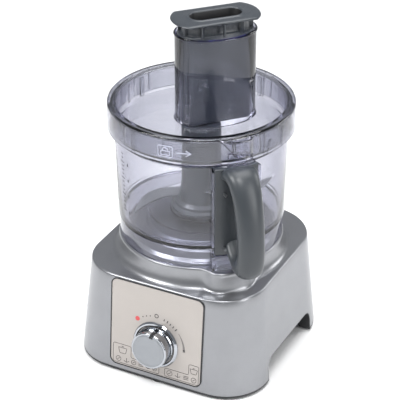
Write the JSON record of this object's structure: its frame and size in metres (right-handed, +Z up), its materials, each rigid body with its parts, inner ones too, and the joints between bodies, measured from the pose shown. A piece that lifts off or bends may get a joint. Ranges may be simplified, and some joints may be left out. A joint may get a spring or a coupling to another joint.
{
  "type": "food processor",
  "caption": "Motor base with a control knob, clear bowl with a side handle, clear lid with an oval feed chute, pusher and two-bladed knife.",
  "frame": {"origin": "on the drive axis, on the plane the feet stand on", "axes": "+Z up along the drive axis, -Y towards the control panel at the front, +X to the object's right"},
  "size_m": [0.2299, 0.2466, 0.3862],
  "materials": {
    "silver_plastic": "satin metallic paint",
    "dark_plastic": "fine texture",
    "rubber": "matte",
    "steel": "machined",
    "panel": "satin champagne",
    "bezel": "gloss",
    "chrome": "polished",
    "knob_face": "satin",
    "switch_plastic": "moulded",
    "cast": "cast",
    "laminations": "stacked laminations",
    "copper": "enamelled wire",
    "carbon": "sintered",
    "brass": "machined",
    "nylon": "moulded",
    "board": "solder mask",
    "handle_plastic": "satin moulded",
    "clear_plastic": "polished clear"
  },
  "bodies": {
    "base": {"housing": "silver_plastic", "base_plate": "dark_plastic", "feet": "rubber", "housing_screws": "steel", "cord_gland": "rubber", "front_panel": "panel", "panel_bezel": "bezel", "knob_ring": "chrome", "speed_switch": "switch_plastic", "chassis": "cast", "chassis_screws": "steel", "motor_stator": "laminations", "field_coils": "copper", "motor_top_bracket": "cast", "motor_bearings": "steel", "brush_holders": "brass", "carbon_brushes": "carbon", "drive_belt": "rubber", "spindle_bearings": "brass", "spindle_seal": "rubber", "control_board": "board", "board_parts": "switch_plastic", "safety_switch": "switch_plastic"},
    "knob": {"knob": "chrome", "knob_cap": "knob_face", "knob_pointer": "bezel", "knob_shaft": "steel"},
    "rotor": {"motor_shaft": "steel", "armature": "laminations", "commutator": "copper", "cooling_fan": "switch_plastic", "motor_pulley": "steel"},
    "spindle": {"spindle_pulley": "nylon", "drive_spindle": "steel", "knife_hub": "handle_plastic", "knife_collar": "handle_plastic", "lower_blade": "steel", "upper_blade": "steel"},
    "plunger": {"switch_plunger": "nylon"},
    "bowl": {"bowl": "clear_plastic", "handle": "handle_plastic", "handle_screws": "steel", "rod_spring": "steel"},
    "rod": {"interlock_rod": "dark_plastic"},
    "lid": {"lid": "clear_plastic", "lid_tab": "clear_plastic", "feed_chute": "clear_plastic"},
    "pusher": {"pusher": "handle_plastic"}
  },
  "joints": [
    {"name": "knob_turn", "type": "hinge", "parent": "base", "child": "knob", "pos_m": [0, -0.10889, 0.04857], "axis": [0, -0.996, 0.0898], "range_deg": [-125, 38]},
    {"name": "motor_turn", "type": "hinge", "parent": "base", "child": "rotor", "pos_m": [-0.048, 0.058, 0], "axis": [0, 0, 1], "continuous": true},
    {"name": "spindle_turn", "type": "hinge", "parent": "base", "child": "spindle", "pos_m": [0, 0, 0], "axis": [0, 0, 1], "continuous": true},
    {"name": "bowl_turn", "type": "hinge", "parent": "base", "child": "bowl", "pos_m": [0, 0, 0], "axis": [0, 0, 1], "range_deg": [0, 30]},
    {"name": "lid_turn", "type": "hinge", "parent": "bowl", "child": "lid", "pos_m": [0, 0, 0], "axis": [0, 0, 1], "range_deg": [0, 28]},
    {"name": "rod_slide", "type": "slide", "parent": "bowl", "child": "rod", "axis": [0, 0, 1], "range_m": [0, 0.0026], "deforming": ["rod_spring"]},
    {"name": "plunger_slide", "type": "slide", "parent": "base", "child": "plunger", "axis": [0, 0, 1], "range_m": [0, 0.0026]},
    {"name": "pusher_slide", "type": "slide", "parent": "lid", "child": "pusher", "axis": [0, 0, 1], "range_m": [0, 0.095]}
  ],
  "couplings": [
    {"joint": "spindle_turn", "follows": "motor_turn", "ratio": 0.19444},
    {"joint": "rod_slide", "follows": "lid_turn", "m_per_rad": 0.004911},
    {"joint": "plunger_slide", "follows": "lid_turn", "m_per_rad": 0.004911}
  ]
}
